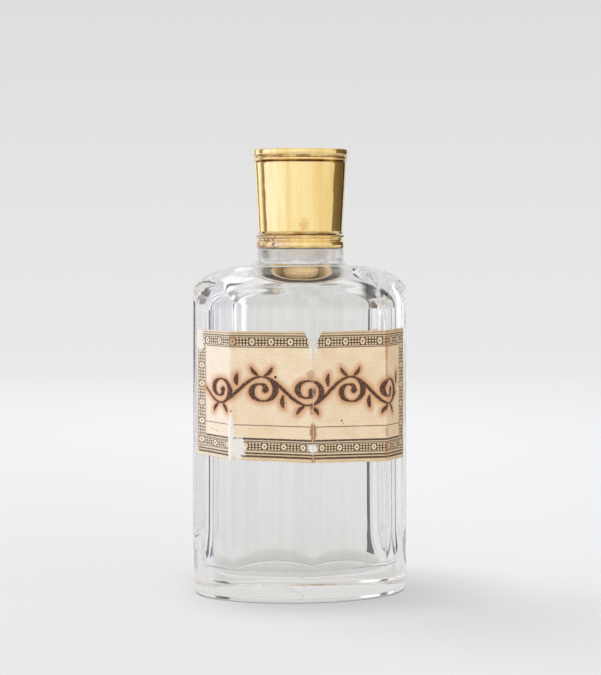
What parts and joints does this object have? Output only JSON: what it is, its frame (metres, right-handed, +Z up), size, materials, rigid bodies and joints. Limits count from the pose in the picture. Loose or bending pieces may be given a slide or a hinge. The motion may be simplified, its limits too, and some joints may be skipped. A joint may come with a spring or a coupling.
{
  "type": "aftershave bottle",
  "caption": "Flattened faceted glass bottle with round shoulders, short neck, ground stopper under a tapered gilt slip-on cap on a moulded collar, and a torn paper label on the front.",
  "frame": {"origin": "centre of the foot, on the surface the bottle stands on", "axes": "+Z up along the neck, +X to the right of the label, -Y towards the label"},
  "size_m": [0.0534, 0.0371, 0.108],
  "materials": {
    "clear_glass": "cut and polished, faintly grey-green",
    "stopper_glass": "polished head, ground plug",
    "gilt_metal": "gilt, polished, rubbed and stained at the foot",
    "cement": "matt plaster",
    "cork": "natural cork",
    "label_paper": "aged printed rag paper, creased and torn"
  },
  "bodies": {
    "bottle": {"glass_bottle": "clear_glass", "collar_cement": "cement", "collar_sleeve": "gilt_metal", "collar_moulding": "gilt_metal", "label_left": "label_paper", "label_right": "label_paper"},
    "stopper": {"glass_stopper": "stopper_glass"},
    "cork": {"cork_pad": "cork"},
    "cap": {"cap_shell": "gilt_metal", "cap_lining": "gilt_metal", "cap_lip_moulding": "gilt_metal", "cap_top_plate": "gilt_metal"}
  },
  "joints": [
    {"name": "stopper_lift", "type": "slide", "parent": "bottle", "child": "stopper", "axis": [0, 0, 1], "range_m": [0, 0.025]},
    {"name": "cap_lift", "type": "slide", "parent": "stopper", "child": "cork", "axis": [0, 0, 1], "range_m": [0, 0.03]},
    {"name": "cap_turn", "type": "hinge", "parent": "cork", "child": "cap", "pos_m": [0, 0, 0.105], "axis": [0, 0, 1], "continuous": true}
  ]
}
